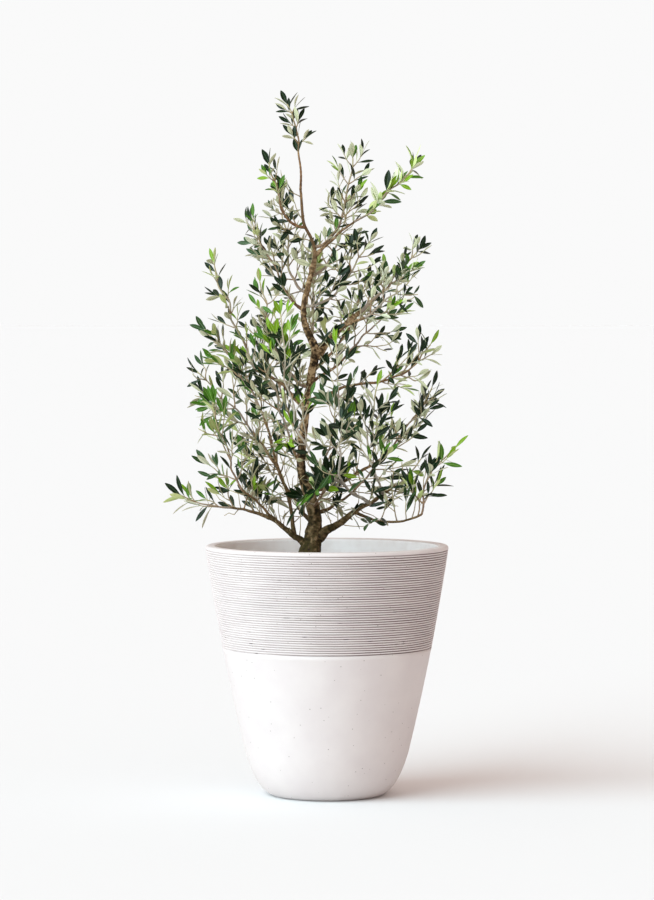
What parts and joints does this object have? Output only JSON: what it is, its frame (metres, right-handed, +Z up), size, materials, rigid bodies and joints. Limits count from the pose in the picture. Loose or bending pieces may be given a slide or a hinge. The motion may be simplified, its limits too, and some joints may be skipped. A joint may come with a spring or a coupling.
{
  "type": "potted olive tree",
  "caption": "Young olive tree with a leaning trunk, open boughs and grey-green foliage, standing in a tapered round planter with a finely ribbed upper band.",
  "frame": {"origin": "middle of the planter's flat underside", "axes": "+Z up the plant, -Y towards the front of the picture, +X to its right"},
  "size_m": [0.4312, 0.3507, 1.0121],
  "materials": {
    "cast_fibre_clay": "matt whitewashed cast clay, fine turned grooves on the upper band",
    "potting_mix": "loose damp bark and peat",
    "olive_bark": "rough grey-brown bark",
    "olive_leaves": "leathery leaves, dark grey-green above and silvery beneath"
  },
  "bodies": {
    "root": {"planter": "cast_fibre_clay", "potting_mix": "potting_mix", "trunk": "olive_bark", "bough_low_left": "olive_bark", "bough_left_upright": "olive_bark", "bough_low_left_back": "olive_bark", "bough_front_left": "olive_bark", "bough_left_mid_low": "olive_bark", "bough_left_mid": "olive_bark", "bough_left_upper": "olive_bark", "bough_left_mid_back": "olive_bark", "bough_low_right": "olive_bark", "bough_low_right_lower": "olive_bark", "bough_centre_front": "olive_bark", "bough_centre_right_front": "olive_bark", "bough_right_inner": "olive_bark", "bough_right_mid_low": "olive_bark", "bough_right_mid": "olive_bark", "bough_right_mid_up": "olive_bark", "bough_right_upper": "olive_bark", "bough_right_upper_front": "olive_bark", "bough_right_upper_back": "olive_bark", "bough_upper_left": "olive_bark", "bough_upper_right": "olive_bark", "bough_low_back": "olive_bark", "bough_low_back_right": "olive_bark", "foliage_low_left": "olive_leaves", "foliage_left_upright": "olive_leaves", "foliage_low_left_back": "olive_leaves", "foliage_front_left": "olive_leaves", "foliage_left_mid_low": "olive_leaves", "foliage_left_mid": "olive_leaves", "foliage_left_upper": "olive_leaves", "foliage_left_mid_back": "olive_leaves", "foliage_low_right": "olive_leaves", "foliage_low_right_tip": "olive_leaves", "foliage_centre_front": "olive_leaves", "foliage_centre_right_front": "olive_leaves", "foliage_right_inner": "olive_leaves", "foliage_right_mid_low": "olive_leaves", "foliage_right_mid": "olive_leaves", "foliage_right_mid_up": "olive_leaves", "foliage_right_upper": "olive_leaves", "foliage_right_upper_front": "olive_leaves", "foliage_right_upper_back": "olive_leaves", "foliage_upper_left": "olive_leaves", "foliage_upper_right": "olive_leaves", "foliage_leader": "olive_leaves", "foliage_low_back": "olive_leaves", "foliage_low_back_right": "olive_leaves", "foliage_low_front": "olive_leaves", "foliage_front_upper_left": "olive_leaves", "foliage_upper_back": "olive_leaves", "foliage_upper_left_back": "olive_leaves", "foliage_upper_right_low": "olive_leaves", "foliage_upper_right_back": "olive_leaves", "foliage_upper_centre": "olive_leaves", "foliage_top_left": "olive_leaves"}
  },
  "joints": []
}
